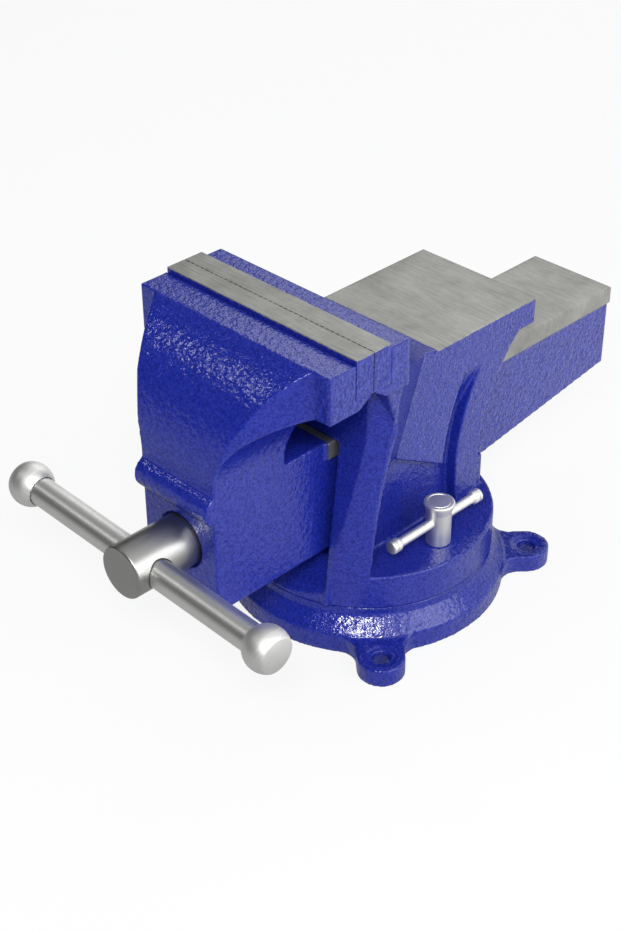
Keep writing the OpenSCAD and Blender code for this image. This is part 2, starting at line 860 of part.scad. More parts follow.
// Coil spring between the front wall and its washer, ground flat by the half turns at its ends
SPRING_SIDES = 8;
SPRING_STEPS = 16;
function spring_ring(i, steps) =
    let (
        angle = 360 * spring_turns * i / steps,
        rise = spring_start + spring_wire_r + (spring_len - 2 * spring_wire_r) * i / steps
    )
    [for (k = [0 : SPRING_SIDES - 1])
        let (
            around = 360 * k / SPRING_SIDES,
            r = spring_mean_r + spring_wire_r * cos(around),
            y = rise + spring_wire_r * sin(around)
        )
        [r * cos(angle), y, screw_z + r * sin(angle)]
    ];

module return_spring() {
    steps = SPRING_STEPS * spring_turns;
    points = [for (i = [0 : steps]) each spring_ring(i, steps)];
    sides = [for (i = [0 : steps - 1], k = [0 : SPRING_SIDES - 1])
        let (
            a = i * SPRING_SIDES + k,
            b = i * SPRING_SIDES + (k + 1) % SPRING_SIDES,
            c = a + SPRING_SIDES,
            d = b + SPRING_SIDES
        )
        each [[a, b, d], [a, d, c]]
    ];
    last = steps * SPRING_SIDES;
    caps = [for (k = [1 : SPRING_SIDES - 2]) each [[0, k + 1, k], [last, last + k, last + k + 1]]];
    color(DARK_STEEL) polyhedron(points, concat(sides, caps));
}

module spring_washer() {
    color(STEEL) translate([0, 0, screw_z]) difference() {
        rod_y(washer_r, washer_y, washer_y + washer_t);
        rod_y(screw_r + fit_gap, washer_y - 1, washer_y + washer_t + 1);
    }
}

module split_pin() {
    color(DARK_STEEL) translate([0, split_pin_y, screw_z - split_pin_len / 2]) {
        cylinder(r = split_pin_r, h = split_pin_len);
        translate([0, 0, split_pin_len]) sphere(r = split_pin_eye_r);
    }
}

module handle_bar() {
    color(STEEL) tilted() translate([-bar_end, handle_y, bar_z]) rotate([0, 90, 0]) {
        cylinder(r = bar_r, h = 2 * bar_end);
    }
}

// A ball with a turned flat at its outer end and a bore for the bar
module handle_ball(side) {
    color(STEEL) tilted() translate([side * ball_span / 2, handle_y, bar_z]) rotate([0, side * 90, 0]) difference() {
        intersection() {
            sphere(r = ball_r);
            translate([0, 0, ball_flat - 2 * ball_r]) cylinder(r = 2 * ball_r, h = 2 * ball_r);
        }
        translate([0, 0, -2 * ball_r]) {
            cylinder(r = bar_r + fit_gap, h = 2 * ball_r + bar_end - ball_span / 2 + fit_gap);
        }
    }
}

module handle_ball_left() {
    handle_ball(-1);
}

module handle_ball_right() {
    handle_ball(1);
}

// Screw nut, bolted to the floor under the slide

module screw_nut() {
    color(CAST) difference() {
        union() {
            translate([-nut_half, nut_front, floor_z]) cube([2 * nut_half, nut_len, screw_z - floor_z]);
            intersection() {
                translate([0, 0, screw_z]) rod_y(nut_top - screw_z, nut_front, nut_rear);
                translate([-nut_half, nut_front, screw_z - 1]) cube([2 * nut_half, nut_len, nut_top - screw_z + 1]);
            }
            translate([-nut_foot_half, nut_front, floor_z]) cube([2 * nut_foot_half, nut_len, nut_foot_t]);
        }
        translate([0, 0, screw_z]) rod_y(screw_r + fit_gap, nut_front - 1, nut_rear + 1);
        nut_bolt_places() translate([0, 0, floor_z - 1]) cylinder(r = nut_bolt_r + fit_gap, h = nut_foot_t + 2);
    }
}

module nut_bolts() {
    color(DARK_STEEL) nut_bolt_places() difference() {
        union() {
            translate([0, 0, nut_bolt_end]) cylinder(r = nut_bolt_r, h = nut_foot_top - nut_bolt_end + 1);
            translate([0, 0, nut_foot_top]) cylinder(r = nut_bolt_head_r, h = nut_bolt_head_h);
        }
        translate([0, 0, nut_foot_top + nut_bolt_head_h / 2]) cylinder(r = nut_bolt_r, h = nut_bolt_head_h, $fn = 6);
    }
}

// Swivel pivot: a bolt from under the base, with a washer and nut on the body's floor

module pivot_bolt() {
    color(DARK_STEEL) {
        translate([0, 0, pivot_recess_h - pivot_head_h]) cylinder(r = pivot_hex_r, h = pivot_head_h, $fn = 6);
        translate([0, 0, pivot_recess_h - 1]) cylinder(r = pivot_r, h = pivot_bolt_top - pivot_recess_h + 1);
    }
}

module pivot_washer() {
    color(DARK_STEEL) translate([0, 0, pivot_washer_z]) difference() {
        cylinder(r = pivot_washer_r, h = pivot_washer_t);
        translate([0, 0, -1]) cylinder(r = pivot_r + fit_gap, h = pivot_washer_t + 2);
    }
}

module pivot_nut() {
    color(DARK_STEEL) translate([0, 0, pivot_nut_z]) difference() {
        cylinder(r = pivot_hex_r, h = pivot_nut_h, $fn = 6);
        translate([0, 0, -1]) cylinder(r = pivot_r + fit_gap, h = pivot_nut_h + 2);
    }
}

// Swivel locks: a bolt with a capped head, its sliding bar and its shoe in the base's groove

module lock_bolt(side) {
    chamfer = 0.8;
    color(STEEL) translate([side * lock_ring_r, 0, 0]) difference() {
        union() {
            translate([0, 0, lock_end]) cylinder(r = lock_shank_r, h = lock_seat - lock_end + 1);
            translate([0, 0, lock_seat]) cylinder(r = lock_head_r, h = lock_top - lock_seat - 1);
            translate([0, 0, lock_top - lock_cap_h]) {
                cylinder(r1 = lock_head_r, r2 = lock_cap_r, h = lock_cap_h - 2 * chamfer);
            }
            translate([0, 0, lock_top - 2 * chamfer]) cylinder(r = lock_cap_r, h = chamfer);
            translate([0, 0, lock_top - chamfer]) {
                cylinder(r1 = lock_cap_r, r2 = lock_cap_r - chamfer, h = chamfer);
            }
        }
        translate([0, 0, lock_bar_z]) rod_y(lock_bar_r + fit_gap, -FAR / 2, FAR / 2);
    }
}

module lock_bar(side) {
    end = lock_bar_len / 2;
    neck = end - lock_knob_len;
    taper = 2;
    place = side > 0 ? -lock_bar_ahead : lock_bar_back;
    color(STEEL) translate([side * lock_ring_r, place, lock_bar_z]) {
        rod_y(lock_bar_r, -end + 1, end - 1);
        for (way = [0, 180]) {
            rotate([0, 0, way]) {
                rod_y(lock_knob_r, neck + taper, end);
                translate([0, neck, 0]) rotate([-90, 0, 0]) cylinder(r1 = lock_bar_r, r2 = lock_knob_r, h = taper);
            }
        }
    }
}

module lock_shoe(side) {
    start = side > 0 ? -shoe_angle / 2 : 180 - shoe_angle / 2;
    color(CAST) difference() {
        rotate([0, 0, start]) rotate_extrude(angle = shoe_angle) {
            span(lock_ring_r - shoe_half, shoe_bottom, lock_ring_r + shoe_half, shoe_shelf);
            span(lock_ring_r - shoe_neck_half, shoe_bottom, lock_ring_r + shoe_neck_half, shoe_top);
        }
        translate([side * lock_ring_r, 0, shoe_bottom - 1]) cylinder(r = lock_shank_r + fit_gap, h = base_h);
    }
}

module lock_bolt_right() {
    lock_bolt(1);
}

module lock_bolt_left() {
    lock_bolt(-1);
}

module lock_bar_right() {
    lock_bar(1);
}

module lock_bar_left() {
    lock_bar(-1);
}

module lock_shoe_right() {
    lock_shoe(1);
}

module lock_shoe_left() {
    lock_shoe(-1);
}

swivel_base();
fixed_jaw_body();
moving_jaw();
fixed_jaw_plate();
moving_jaw_plate();
fixed_plate_screws();
moving_plate_screws();
main_screw();
return_spring();
spring_washer();
split_pin();
handle_bar();
handle_ball_left();
handle_ball_right();
screw_nut();
nut_bolts();
pivot_bolt();
pivot_washer();
pivot_nut();
lock_bolt_right();
lock_bolt_left();
lock_bar_right();
lock_bar_left();
lock_shoe_right();
lock_shoe_left();
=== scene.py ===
# Swivel bench vise: rounded castings, turned steel and enamel paint over the CAD frame.
import math

import bmesh
import bpy
from mathutils import Matrix, Vector


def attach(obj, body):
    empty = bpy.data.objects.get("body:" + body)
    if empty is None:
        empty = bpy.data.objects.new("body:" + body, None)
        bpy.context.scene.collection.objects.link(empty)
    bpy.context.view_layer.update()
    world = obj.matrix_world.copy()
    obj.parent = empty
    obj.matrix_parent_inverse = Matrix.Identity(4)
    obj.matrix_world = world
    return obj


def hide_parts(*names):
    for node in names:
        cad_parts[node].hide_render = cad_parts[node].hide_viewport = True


MM = 0.001
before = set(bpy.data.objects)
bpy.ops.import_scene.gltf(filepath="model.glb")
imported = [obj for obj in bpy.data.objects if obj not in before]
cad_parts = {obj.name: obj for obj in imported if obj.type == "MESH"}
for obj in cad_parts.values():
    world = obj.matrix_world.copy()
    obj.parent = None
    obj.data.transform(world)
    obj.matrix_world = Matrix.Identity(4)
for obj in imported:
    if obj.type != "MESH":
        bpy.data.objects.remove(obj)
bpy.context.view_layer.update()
scene = bpy.context.scene
scene.view_settings.view_transform = "Standard"

# Sizes shared with the solids, in millimetres
GRIP_Y = -75.0
JAW_W = 150.0
JAW_GAP = 0.3
PLATE_T = 13.0
PLATE_H = 25.0
PLATE_TOP = 221.0
PLATE_SCREW_X = 45.0
SCREW_Z = 100.0
SCREW_R = 12.0
SCREW_PITCH = 5.0
SCREW_REAR = 188.0
JOURNAL_R = 13.0
HEAD_R = 16.0
HEAD_FRONT = -195.0
HEAD_SEAT = -147.7
CAVITY_FRONT = -128.5
PIN_Y = -101.4
PIN_R = 2.5
SPRING_LEN = 20.0
HANDLE_Y = -179.5
HANDLE_TILT = 2.2
BAR_R = 8.6
BAR_HOLE_R = 9.1
BAR_DROP = 0.2
BAR_END = 104.7
BALL_X = 99.5
BALL_R = 13.5
BALL_FLAT = 8.2
LOCK_X = 60.5
LOCK_END = 11.0
LOCK_FOOT = 51.7
LOCK_TOP = 81.0
LOCK_SHANK_R = 5.0
LOCK_HEAD_R = 7.75
LOCK_CAP_R = 9.5
LOCK_CAP_H = 7.0
LOCK_BAR_Z = 68.0
LOCK_BAR_Y = {1: -3.0, -1: 15.0}
LOCK_BAR_R = 3.0
LOCK_BAR_END = 39.5
LOCK_KNOB_R = 4.3
LOCK_KNOB_START = 31.5
PIN_SLIP = 0.05

# Where the paint gives way to machined metal, in millimetres
ANVIL_PAINT_Z = 174.0
ANVIL_PAINT_Y = 9.5
SLIDE_PAINT_Z = 127.5
SLIDE_PAINT_Y = -65.5


# Small builders

def as_object(name, mesh):
    obj = bpy.data.objects.new(name, mesh)
    scene.collection.objects.link(obj)
    return obj


def baked(obj, name):
    """A plain mesh object of obj with its modifiers applied; obj is removed."""
    depsgraph = bpy.context.evaluated_depsgraph_get()
    mesh = bpy.data.meshes.new_from_object(obj.evaluated_get(depsgraph), depsgraph=depsgraph)
    bpy.data.objects.remove(obj)
    mesh.name = name
    return as_object(name, mesh)


def smooth(obj, angle):
    """Smooth shading with creases where faces meet at more than the angle."""
    mesh = obj.data
    mesh.polygons.foreach_set("use_smooth", [True] * len(mesh.polygons))
    mesh.set_sharp_from_angle(angle=math.radians(angle))
    mesh.update()


def place(obj, matrix):
    """Puts a transform into the mesh, so that the object stays at the origin."""
    obj.data.transform(matrix)
    obj.data.update()


def shift(x, y, z):
    """A move by millimetres."""
    return Matrix.Translation((x * MM, y * MM, z * MM))


def turn(degrees, axis):
    return Matrix.Rotation(math.radians(degrees), 4, axis)


def along_y(y, z):
    """Lays a Z-turned piece along +Y, at a height."""
    return shift(0, y, z) @ turn(-90, "X")


def lathe(name, profile, segments=72):
    """A solid turned about Z from (radius, height) points in millimetres; both ends lie on the axis."""
    bm = bmesh.new()
    rings = []
    for r, z in profile:
        if r < 1e-6:
            rings.append([bm.verts.new((0, 0, z * MM))])
        else:
            rings.append([
                bm.verts.new((r * MM * math.cos(a), r * MM * math.sin(a), z * MM))
                for a in (2 * math.pi * k / segments for k in range(segments))
            ])
    for low, high in zip(rings, rings[1:]):
        for k in range(segments):
            n = (k + 1) % segments
            if len(low) == 1 and len(high) == 1:
                continue
            if len(low) == 1:
                bm.faces.new((low[0], high[n], high[k]))
            elif len(high) == 1:
                bm.faces.new((low[k], low[n], high[0]))
            else:
                bm.faces.new((low[k], low[n], high[n], high[k]))
    bmesh.ops.recalc_face_normals(bm, faces=bm.faces)
    mesh = bpy.data.meshes.new(name)
    bm.to_mesh(mesh)
    bm.free()
    return as_object(name, mesh)


def rod(name, radius, reach, segments):
    """A plain cutter along Z that reaches as far to both sides."""
    return lathe(name, [(0, -reach), (radius, -reach), (radius, reach), (0, reach)], segments)


def arc(r0, z0, radius, start, stop, steps=4):
    """Points of a round in a lathe profile, between two angles in degrees."""
    angles = [math.radians(start + (stop - start) * k / steps) for k in range(steps + 1)]
    return [(r0 + radius * math.cos(a), z0 + radius * math.sin(a)) for a in angles]


def cut(obj, cutters):
    """Subtracts the cutters from obj and removes them."""
    for cutter in cutters:
        modifier = obj.modifiers.new("cut", "BOOLEAN")
        modifier.operation = "DIFFERENCE"
        modifier.solver = "EXACT"
        modifier.object = cutter
    result = baked(obj, obj.name)
    for cutter in cutters:
        bpy.data.objects.remove(cutter)
    return result


def stands_for(obj, node, body):
    """The piece replaces a node, whose solid is hidden, and moves with a body."""
    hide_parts(node)
    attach(obj, body)


def turned_piece(obj, name, material, node, body, crease=32):
    """Names, shades and dresses one turned steel piece."""
    obj.name = name
    smooth(obj, crease)
    obj.data.materials.clear()
    obj.data.materials.append(material)
    stands_for(obj, node, body)


# Node trees

class Nodes:
    """Short ways to add nodes to a tree."""

    def __init__(self, tree):
        self.tree = tree

    def put(self, socket, value):
        if isinstance(value, bpy.types.NodeSocket):
            self.tree.links.new(value, socket)
        else:
            socket.default_value = value

    def node(self, kind, inputs=None, **settings):
        node = self.tree.nodes.new(kind)
        for key, value in settings.items():
            setattr(node, key, value)
        for key, value in (inputs or {}).items():
            self.put(node.inputs[key], value)
        return node

    def math(self, operation, a, b=0.0):
        return self.node("ShaderNodeMath", {0: a, 1: b}, operation=operation).outputs[0]

    def blend(self, a, b, share):
        """The sum of a and b, where b has the given share and a the rest."""
        return self.math("ADD", self.math("MULTIPLY", a, 1 - share), self.math("MULTIPLY", b, share))

    def split(self, vector):
        return self.node("ShaderNodeSeparateXYZ", {0: vector}).outputs

    def ramp(self, value, low, high, out_low=0.0, out_high=1.0):
        return self.node("ShaderNodeMapRange", {
            "Value": value, "From Min": low, "From Max": high, "To Min": out_low, "To Max": out_high,
        }).outputs[0]

    def mix(self, factor, a, b):
        return self.node("ShaderNodeMix", {"Factor": factor, "A": a, "B": b}).outputs[0]


# Materials

class Finish(Nodes):
    """One Principled material on Object coordinates."""

    def __init__(self, name):
        self.material = bpy.data.materials.new(name)
        self.material.use_nodes = True
        super().__init__(self.material.node_tree)
        self.shader = self.tree.nodes["Principled BSDF"]
        self.coords = self.node("ShaderNodeTexCoord").outputs["Object"]

    def set(self, **values):
        for name, value in values.items():
            self.put(self.shader.inputs[name.replace("_", " ")], value)

    def vector(self, operation, a, b):
        return self.node("ShaderNodeVectorMath", {0: a, 1: b}, operation=operation).outputs[0]

    def noise(self, scale, detail=2.0, rough=0.5, stretch=None):
        where = self.vector("MULTIPLY", self.coords, stretch) if stretch else self.coords
        return self.node("ShaderNodeTexNoise", {
            "Vector": where, "Scale": scale, "Detail": detail, "Roughness": rough,
        }).outputs["Fac"]

    def cells(self, scale, smoothness):
        return self.node("ShaderNodeTexVoronoi", {
            "Vector": self.coords, "Scale": scale, "Smoothness": smoothness,
        }, feature="SMOOTH_F1").outputs["Distance"]

    def mix_colour(self, factor, a, b):
        node = self.node("ShaderNodeMix", {"Factor": factor}, data_type="RGBA")
        colours = [socket for socket in node.inputs if socket.type == "RGBA"]
        self.put(colours[0], a)
        self.put(colours[1], b)
        return next(socket for socket in node.outputs if socket.type == "RGBA")

    def bump(self, height, distance, strength):
        return self.node("ShaderNodeBump", {
            "Height": height, "Distance": distance, "Strength": strength,
        }).outputs[0]

    def grazing(self):
        """0 where the surface faces the eye, 1 where it is seen edge on."""
        return self.node("ShaderNodeLayerWeight").outputs["Facing"]

    def above(self, value, limit, soft=0.25):
        """0 below a limit and 1 above it, in millimetres."""
        return self.ramp(value, (limit - soft) * MM, (limit + soft) * MM)

    def worn(self, value):
        """A coordinate that wanders a little, so that the paint ends along a ragged line."""
        return self.math("ADD", value, self.ramp(self.noise(420.0, 3.0, 0.6), 0.2, 0.8, -0.6 * MM, 0.6 * MM))


# The enamel's two tones. In enamel() the deep one also lies in the grain's pits as painted shade, and the
# light one lies on its peaks as painted sheen.
ENAMEL_DEEP = (0.005, 0.010, 0.165, 1)
ENAMEL_LIGHT = (0.014, 0.027, 0.325, 1)
MACHINED_DARK = (0.17, 0.17, 0.16, 1)
MACHINED_PALE = (0.39, 0.39, 0.37, 1)
STEEL_DARK = (0.46, 0.46, 0.45)
STEEL_PALE = (0.70, 0.70, 0.68)
IRON_DARK = (0.09, 0.088, 0.085, 1)
IRON_PALE = (0.17, 0.165, 0.16, 1)


def enamel(name, bare=None):
    """Thick blue enamel on a rough casting; bare(finish) gives a mask of the machined, unpainted places."""
    f = Finish(name)
    wander = f.noise(9.0, 3.0)
    sand = f.noise(780.0, 1.5)
    lumps = f.noise(270.0, 1.0)
    pits = f.cells(480.0, 0.5)
    peaks_and_painted_pit_shade = f.ramp(f.math("SUBTRACT", sand, f.math("MULTIPLY", pits, 0.25)), 0.22, 0.50)
    # Colour: a random wander in tone, plus painted shade in the grain's pits and a painted sheen on its
    # peaks.
    colour = f.mix_colour(f.blend(wander, peaks_and_painted_pit_shade, 0.6), ENAMEL_DEEP, ENAMEL_LIGHT)
    height = f.blend(sand, lumps, 0.4)
    rough = f.ramp(f.noise(60.0), 0.3, 0.7, 0.12, 0.20)
    edge_on = f.grazing()
    shine = f.math("MULTIPLY", f.ramp(peaks_and_painted_pit_shade, 0.0, 1.0, 0.03, 0.28), f.ramp(edge_on, 0.5, 0.9, 1.0, 0.1))
    gloss = f.ramp(edge_on, 0.45, 0.9, 0.7, 0.05)
    gloss_height = f.math("ADD", lumps, f.math("MULTIPLY", sand, 0.25))
    metal = 0.0
    if bare:
        mask = bare(f)
        lines = f.noise(1.0, 3.0, 0.6, stretch=(60.0, 2200.0, 60.0))
        patches = f.noise(38.0, 5.0, 0.65)
        wear = f.ramp(f.blend(lines, patches, 0.5), 0.36, 0.64)
        colour = f.mix_colour(mask, colour, f.mix_colour(wear, MACHINED_DARK, MACHINED_PALE))
        rough = f.mix(mask, rough, f.ramp(wear, 0.0, 1.0, 0.36, 0.54))
        shine = f.mix(mask, shine, 0.5)
        gloss = f.mix(mask, gloss, 0.0)
        metal = f.math("MULTIPLY", mask, 0.75)
        height = f.mix(mask, height, f.math("MULTIPLY", lines, 0.08))
    f.set(
        Base_Color=colour, Roughness=rough, Specular_IOR_Level=shine, Metallic=metal,
        Normal=f.bump(height, 1.0 * MM, 0.9), Coat_Weight=gloss, Coat_Roughness=0.08,
        Coat_Normal=f.bump(gloss_height, 0.7 * MM, 0.9),
    )
    return f.material


def anvil_mask(f):
    """The anvil's machined top."""
    _, y, z = f.split(f.coords)
    return f.math("MULTIPLY", f.above(f.worn(z), ANVIL_PAINT_Z), f.above(f.worn(y), ANVIL_PAINT_Y))


def slide_mask(f):
    """The slide's machined top, behind the moving jaw."""
    _, y, z = f.split(f.coords)
    return f.math("MULTIPLY", f.above(f.worn(z), SLIDE_PAINT_Z), f.above(y, SLIDE_PAINT_Y))


def plate_mask(f):
    """All of a jaw plate but its painted ends and back."""
    x, y, z = f.split(f.coords)
    end = f.above(f.math("ABSOLUTE", x), JAW_W / 2 - 0.3)
    back = f.above(f.math("ABSOLUTE", f.math("SUBTRACT", y, GRIP_Y * MM)), PLATE_T - 0.1)
    inner = f.math("SUBTRACT", 1.0, f.math("MAXIMUM", end, back))
    return f.math("MAXIMUM", inner, f.above(f.worn(z), PLATE_TOP - 0.6))


def turned_steel(name, axis, centre, dull, tone_and_painted_light):
    """Satin steel with fine lathe lines round an axis (0, 1 or 2).

    dull is its least roughness, and the last argument scales its tone; on the lock pieces it is set high,
    which paints them lighter against the shade they stand in.
    """
    f = Finish(name)
    parts = f.split(f.vector("SUBTRACT", f.coords, tuple(c * MM for c in centre)))
    across = [f.math("MULTIPLY", parts[k], parts[k]) for k in range(3) if k != axis]
    radius = f.math("SQRT", f.math("ADD", across[0], across[1]))
    position = f.math("ADD", parts[axis], radius)
    lines = f.node("ShaderNodeTexNoise", {
        "W": f.math("MULTIPLY", position, 1500.0), "Scale": 1.0, "Detail": 3.0,
    }, noise_dimensions="1D").outputs["Fac"]
    stains = f.noise(55.0, 3.0)
    dark, light = ([c * tone_and_painted_light for c in tone] + [1.0] for tone in (STEEL_DARK, STEEL_PALE))
    f.set(
        Base_Color=f.mix_colour(f.blend(lines, stains, 0.5), dark, light), Metallic=1.0,
        Roughness=f.ramp(lines, 0.3, 0.7, dull, dull + 0.08), Normal=f.bump(lines, 0.03 * MM, 0.5),
    )
    return f.material


def mottled_metal(name, dark, tone_and_painted_light, metal, rough, grain, detail, height, strength):
    """Steel or iron with a mottled tone; rough is its range of roughness."""
    f = Finish(name)
    mottle = f.noise(grain, detail, 0.6)
    spread = f.ramp(mottle, 0.3, 0.7)
    f.set(
        Base_Color=f.mix_colour(spread, dark, tone_and_painted_light), Metallic=metal,
        Roughness=f.ramp(mottle, 0.3, 0.7, *rough), Normal=f.bump(mottle, height * MM, strength),
    )
    return f.material


def plain_steel(name, dark, tone_and_painted_light, roughness):
    """Bare or blackened steel of the small hidden pieces."""
    return mottled_metal(name, dark, tone_and_painted_light, 0.85, (roughness, roughness + 0.12), 160.0, 4.0, 0.3, 0.5)


def raw_iron(name):
    """Unpainted casting of the screw nut and lock shoes."""
    return mottled_metal(name, IRON_DARK, IRON_PALE, 0.6, (0.5, 0.65), 420.0, 4.0, 0.8, 0.7)


# Castings: the solids' own shapes with the soft edges of a sand casting

GRAIN = 1.0
SOFTEN = 6
SOFT_WIDTH = 4
CASTING_FACES = 150000


def soft_places(obj):
    """A group of the places whose edges are soft: all but the pockets that the jaw plates stand in."""
    group = obj.vertex_groups.new(name="soft")
    levels = {}
    for vertex in obj.data.vertices:
        x, y, z = vertex.co / MM
        beside = abs(x) - JAW_W / 2
        behind = abs(y - GRIP_Y) - PLATE_T - JAW_GAP / 2
        below = PLATE_TOP - PLATE_H - z
        level = min(SOFT_WIDTH, max(0, int(max(beside, behind, below) + 0.5)))
        levels.setdefault(level, []).append(vertex.index)
    for level, indices in levels.items():
        group.add(indices, level / SOFT_WIDTH, "REPLACE")
    return group


def casting(node, name, body, material):
    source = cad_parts[node]
    mesh = source.data.copy()
    bm = bmesh.new()
    bm.from_mesh(mesh)
    bmesh.ops.remove_doubles(bm, verts=bm.verts, dist=1e-6)
    bm.to_mesh(mesh)
    bm.free()
    obj = as_object(name + "_draft", mesh)
    obj.data.materials.clear()
    remesh = obj.modifiers.new("grain", "REMESH")
    remesh.mode = "VOXEL"
    remesh.voxel_size = GRAIN * MM
    hug = obj.modifiers.new("hug", "SHRINKWRAP")
    hug.target = source
    hug.wrap_method = "NEAREST_SURFACEPOINT"
    obj = baked(obj, name + "_hugged")
    soften = obj.modifiers.new("soften", "SMOOTH")
    soften.factor = 0.5
    soften.iterations = SOFTEN
    soften.vertex_group = soft_places(obj).name
    obj = baked(obj, name + "_fine")
    faces = sum(len(p.vertices) - 2 for p in obj.data.polygons)
    thin = obj.modifiers.new("thin", "DECIMATE")
    thin.ratio = min(1.0, CASTING_FACES / faces)
    obj = baked(obj, name)
    smooth(obj, 180)
    obj.data.materials.append(material)
    stands_for(obj, node, body)


casting("swivel_base", "base_casting", "base", enamel("base_enamel"))
casting("fixed_jaw_body", "body_casting", "body", enamel("body_enamel", anvil_mask))
casting("moving_jaw", "moving_jaw_casting", "jaw", enamel("jaw_enamel", slide_mask))


# Pieces grown by geometry nodes

def tree_with_inputs(name, inputs):
    tree = bpy.data.node_groups.new(name, "GeometryNodeTree")
    for label, kind, value in inputs:
        socket = tree.interface.new_socket(label, in_out="INPUT", socket_type="NodeSocket" + kind)
        if value is not None:
            socket.default_value = value
    tree.interface.new_socket("Geometry", in_out="OUTPUT", socket_type="NodeSocketGeometry")
    return Nodes(tree), tree.nodes.new("NodeGroupInput").outputs


def close_tree(n, geometry, material):
    """Ends a tree with real geometry in one material."""
    real = n.node("GeometryNodeRealizeInstances", {0: geometry}).outputs[0]
    painted = n.node("GeometryNodeSetMaterial", {"Geometry": real, "Material": material}).outputs[0]
    n.node("NodeGroupOutput", {0: painted})
    return n.tree


def grown(name, tree, values):
    """Runs a node tree on an empty mesh and returns the plain mesh it makes."""
    obj = as_object(name + "_draft", bpy.data.meshes.new(name + "_draft"))
    modifier = obj.modifiers.new("grow", "NODES")
    modifier.node_group = tree
    for item in tree.interface.items_tree:
        if item.in_out == "INPUT" and item.name in values:
            modifier[item.identifier] = values[item.name]
    obj = baked(obj, name)
    bpy.data.node_groups.remove(tree)
    return obj


def serrated_plate_tree():
    """A jaw plate whose gripping face, on its +Y side, has crossed V grooves."""
    flank_slope = 2.2
    n, given = tree_with_inputs("serrated_plate", [
        ("Width", "Float", 0.15), ("Thickness", "Float", 0.013), ("Height", "Float", 0.025),
        ("Groove Pitch", "Float", 0.004), ("Groove Depth", "Float", 0.0005), ("Material", "Material", None),
    ])
    size = n.node("ShaderNodeCombineXYZ", {0: given["Width"], 1: given["Thickness"], 2: given["Height"]})
    block = n.node("GeometryNodeMeshCube", {
        "Size": size.outputs[0], "Vertices X": 301, "Vertices Y": 2, "Vertices Z": 51,
    }).outputs["Mesh"]
    x, y, z = n.split(n.node("GeometryNodeInputPosition").outputs[0])

    def groove(sign):
        slope = n.math("ADD", x, n.math("MULTIPLY", z, sign))
        half = n.math("MULTIPLY", given["Groove Pitch"], 0.5)
        level = n.math("DIVIDE", n.math("PINGPONG", slope, half), half)
        flank = n.math("SUBTRACT", 1.0, n.math("MULTIPLY", level, flank_slope))
        return n.math("MAXIMUM", flank, 0.0)

    deep = n.math("MAXIMUM", groove(1.0), groove(-1.0))
    sunk = n.math("MULTIPLY", n.math("MULTIPLY", deep, given["Groove Depth"]), -1.0)
    cut_face = n.node("GeometryNodeSetPosition", {
        "Geometry": block, "Selection": n.math("GREATER_THAN", y, 0.0),
        "Offset": n.node("ShaderNodeCombineXYZ", {1: sunk}).outputs[0],
    }).outputs[0]
    return close_tree(n, cut_face, given["Material"])


def coil_tree():
    """A wire wound round Z."""
    n, given = tree_with_inputs("coil", [
        ("Turns", "Float", 4.0), ("Steps", "Int", 32), ("Coil Radius", "Float", 0.01),
        ("Length", "Float", 0.02), ("Wire Radius", "Float", 0.001), ("Wire Sides", "Int", 8),
        ("Material", "Material", None),
    ])
    path = n.node("GeometryNodeCurveSpiral", {
        "Resolution": given["Steps"], "Rotations": given["Turns"], "Start Radius": given["Coil Radius"],
        "End Radius": given["Coil Radius"], "Height": given["Length"],
    }).outputs[0]
    wire = n.node("GeometryNodeCurvePrimitiveCircle", {
        "Resolution": given["Wire Sides"], "Radius": given["Wire Radius"],
    }, mode="RADIUS").outputs["Curve"]
    swept = n.node("GeometryNodeCurveToMesh", {
        "Curve": path, "Profile Curve": wire, "Fill Caps": True,
    }).outputs[0]
    return close_tree(n, swept, given["Material"])


# Jaw plates

def countersink(reach):
    """Cutter of a countersunk plate hole along Z, with its mouth at height 0."""
    hole_r = 4.05
    mouth_r = 8.0
    cone_end = hole_r - mouth_r
    return lathe("hole", [(0, -reach), (hole_r, -reach), (hole_r, cone_end), (mouth_r + 1, 1), (0, 1)], 48)


def jaw_plate(name, node, body, towards):
    """towards is +1 where the gripping face looks along +Y, as on the moving jaw."""
    material = enamel(name + "_steel", plate_mask)
    obj = grown(name, serrated_plate_tree(), {
        "Width": JAW_W * MM, "Thickness": PLATE_T * MM, "Height": PLATE_H * MM, "Material": material,
    })
    holes = []
    for x in (-PLATE_SCREW_X, PLATE_SCREW_X):
        hole = countersink(PLATE_T + 1)
        place(hole, shift(x, PLATE_T / 2, 0) @ turn(-90, "X"))
        holes.append(hole)
    obj = cut(obj, holes)
    face = GRIP_Y - towards * JAW_GAP / 2
    middle = face - towards * PLATE_T / 2
    place(obj, shift(0, middle, PLATE_TOP - PLATE_H / 2) @ turn(0 if towards > 0 else 180, "Z"))
    smooth(obj, 20)
    stands_for(obj, node, body)


jaw_plate("moving_plate", "moving_jaw_plate", "jaw", 1)
jaw_plate("fixed_plate", "fixed_jaw_plate", "body", -1)


# Main screw and its return spring

HANDLE_AXIS = shift(0, HANDLE_Y, SCREW_Z) @ turn(HANDLE_TILT, "Y")


